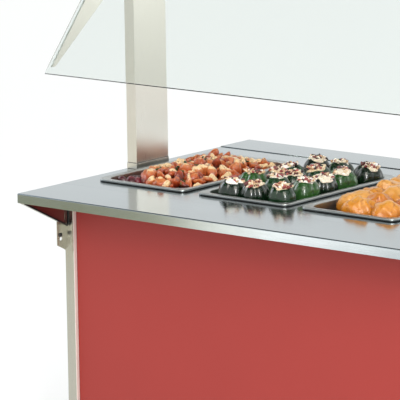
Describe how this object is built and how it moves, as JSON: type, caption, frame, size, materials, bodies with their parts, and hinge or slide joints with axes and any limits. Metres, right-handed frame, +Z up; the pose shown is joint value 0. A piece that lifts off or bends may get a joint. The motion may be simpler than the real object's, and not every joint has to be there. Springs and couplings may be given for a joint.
{
  "type": "steam table",
  "caption": "Hot-food steam table on casters with drop-in food pans, a plate shelf, a rear work shelf, red panels and a glass food guard under a lit canopy.",
  "frame": {"origin": "on the floor, under the middle of the counter", "axes": "+X along the counter to the customer's right, +Y towards the server's side, +Z up"},
  "size_m": [1.575, 1.07, 1.6],
  "materials": {
    "counter_steel": "satin, nearly mirror",
    "steel": "brushed",
    "drawn_steel": "drawn, satin",
    "red_paint": "satin powder coat",
    "zinc": "zinc plated",
    "brass": "turned",
    "black_plastic": "satin",
    "red_vinyl": "dipped",
    "grey_rubber": "matt",
    "amber": "clear lens",
    "glass": "clear, polished edges",
    "lamp": "opal",
    "seafood": "moist",
    "peppers": "moist",
    "squash": "moist"
  },
  "bodies": {
    "table": {"main_top": "counter_steel", "front_shelf": "counter_steel", "rear_shelf": "counter_steel", "shelf_bracket_left": "steel", "rear_bracket_left": "steel", "shelf_bracket_right": "steel", "rear_bracket_right": "steel", "top_rail_front": "steel", "cabinet_floor": "steel", "front_panel": "red_paint", "end_panel_left": "red_paint", "end_panel_right": "red_paint", "well_1": "drawn_steel", "heating_element_1": "zinc", "well_2": "drawn_steel", "heating_element_2": "zinc", "well_3": "drawn_steel", "heating_element_3": "zinc", "well_4": "drawn_steel", "heating_element_4": "zinc", "drain_manifold": "zinc", "drain_valve": "brass", "control_panel": "steel", "lamp_strip": "amber", "control_box": "zinc", "cord_gland": "black_plastic", "guard_post_left": "steel", "guard_post_right": "steel", "canopy": "steel", "canopy_lamp": "lamp", "guard_glass": "glass", "corner_post_front_left": "steel", "corner_post_front_right": "steel", "corner_post_rear_left": "steel", "corner_post_rear_right": "steel"},
    "drain_lever": {"drain_lever": "red_vinyl"},
    "thermostat_knob_1": {"thermostat_knob_1": "black_plastic"},
    "thermostat_knob_2": {"thermostat_knob_2": "black_plastic"},
    "thermostat_knob_3": {"thermostat_knob_3": "black_plastic"},
    "thermostat_knob_4": {"thermostat_knob_4": "black_plastic"},
    "main_switch": {"main_switch": "black_plastic"},
    "door_left": {"door_left": "steel"},
    "door_right": {"door_right": "steel"},
    "food_pan_1": {"food_pan_1": "drawn_steel", "food_seafood": "seafood"},
    "food_pan_2": {"food_pan_2": "drawn_steel", "food_peppers": "peppers"},
    "food_pan_3": {"food_pan_3": "drawn_steel", "food_squash": "squash"},
    "food_pan_4": {"food_pan_4": "drawn_steel"},
    "caster_front_left": {"caster_fork_front_left": "zinc"},
    "wheel_front_left": {"caster_wheel_front_left": "grey_rubber"},
    "brake_left": {"brake_pedal_left": "black_plastic"},
    "caster_front_right": {"caster_fork_front_right": "zinc"},
    "wheel_front_right": {"caster_wheel_front_right": "grey_rubber"},
    "brake_right": {"brake_pedal_right": "black_plastic"},
    "caster_rear_left": {"caster_fork_rear_left": "zinc"},
    "wheel_rear_left": {"caster_wheel_rear_left": "grey_rubber"},
    "caster_rear_right": {"caster_fork_rear_right": "zinc"},
    "wheel_rear_right": {"caster_wheel_rear_right": "grey_rubber"}
  },
  "joints": [
    {"name": "knob_turn_1", "type": "hinge", "parent": "table", "child": "thermostat_knob_1", "pos_m": [-0.5595, 0.39, 0.828], "axis": [0, 1, 0], "range_deg": [0, 300]},
    {"name": "knob_turn_2", "type": "hinge", "parent": "table", "child": "thermostat_knob_2", "pos_m": [-0.1865, 0.39, 0.828], "axis": [0, 1, 0], "range_deg": [0, 300]},
    {"name": "knob_turn_3", "type": "hinge", "parent": "table", "child": "thermostat_knob_3", "pos_m": [0.1865, 0.39, 0.828], "axis": [0, 1, 0], "range_deg": [0, 300]},
    {"name": "knob_turn_4", "type": "hinge", "parent": "table", "child": "thermostat_knob_4", "pos_m": [0.5595, 0.39, 0.828], "axis": [0, 1, 0], "range_deg": [0, 300]},
    {"name": "switch_rock", "type": "hinge", "parent": "table", "child": "main_switch", "pos_m": [0.68, 0.389, 0.828], "axis": [1, 0, 0], "range_deg": [0, 15]},
    {"name": "drain_lever_turn", "type": "hinge", "parent": "table", "child": "drain_lever", "pos_m": [0.686, 0.0065, 0.7244], "axis": [0, 0, 1], "range_deg": [0, 90]},
    {"name": "door_left_slide", "type": "slide", "parent": "table", "child": "door_left", "axis": [1, 0, 0], "range_m": [0, 0.7396]},
    {"name": "door_right_slide", "type": "slide", "parent": "table", "child": "door_right", "axis": [1, 0, 0], "range_m": [-0.7396, 0]},
    {"name": "pan_lift_1", "type": "slide", "parent": "table", "child": "food_pan_1", "axis": [0, 0, 1], "range_m": [0, 0.15]},
    {"name": "pan_lift_2", "type": "slide", "parent": "table", "child": "food_pan_2", "axis": [0, 0, 1], "range_m": [0, 0.15]},
    {"name": "pan_lift_3", "type": "slide", "parent": "table", "child": "food_pan_3", "axis": [0, 0, 1], "range_m": [0, 0.15]},
    {"name": "pan_lift_4", "type": "slide", "parent": "table", "child": "food_pan_4", "axis": [0, 0, 1], "range_m": [0, 0.15]},
    {"name": "caster_swivel_front_left", "type": "hinge", "parent": "table", "child": "caster_front_left", "pos_m": [-0.763, -0.325, 0.155], "axis": [0, 0, 1], "continuous": true},
    {"name": "wheel_spin_front_left", "type": "hinge", "parent": "caster_front_left", "child": "wheel_front_left", "pos_m": [-0.763, -0.29, 0.0635], "axis": [1, 0, 0], "continuous": true},
    {"name": "caster_swivel_front_right", "type": "hinge", "parent": "table", "child": "caster_front_right", "pos_m": [0.763, -0.325, 0.155], "axis": [0, 0, 1], "continuous": true},
    {"name": "wheel_spin_front_right", "type": "hinge", "parent": "caster_front_right", "child": "wheel_front_right", "pos_m": [0.763, -0.29, 0.0635], "axis": [1, 0, 0], "continuous": true},
    {"name": "caster_swivel_rear_left", "type": "hinge", "parent": "table", "child": "caster_rear_left", "pos_m": [-0.763, 0.376, 0.155], "axis": [0, 0, 1], "continuous": true},
    {"name": "wheel_spin_rear_left", "type": "hinge", "parent": "caster_rear_left", "child": "wheel_rear_left", "pos_m": [-0.763, 0.341, 0.0635], "axis": [1, 0, 0], "continuous": true},
    {"name": "caster_swivel_rear_right", "type": "hinge", "parent": "table", "child": "caster_rear_right", "pos_m": [0.763, 0.376, 0.155], "axis": [0, 0, 1], "continuous": true},
    {"name": "wheel_spin_rear_right", "type": "hinge", "parent": "caster_rear_right", "child": "wheel_rear_right", "pos_m": [0.763, 0.341, 0.0635], "axis": [1, 0, 0], "continuous": true},
    {"name": "brake_press_left", "type": "hinge", "parent": "caster_front_left", "child": "brake_left", "pos_m": [-0.763, -0.352, 0.14], "axis": [1, 0, 0], "range_deg": [0, 18]},
    {"name": "brake_press_right", "type": "hinge", "parent": "caster_front_right", "child": "brake_right", "pos_m": [0.763, -0.352, 0.14], "axis": [1, 0, 0], "range_deg": [0, 18]}
  ]
}
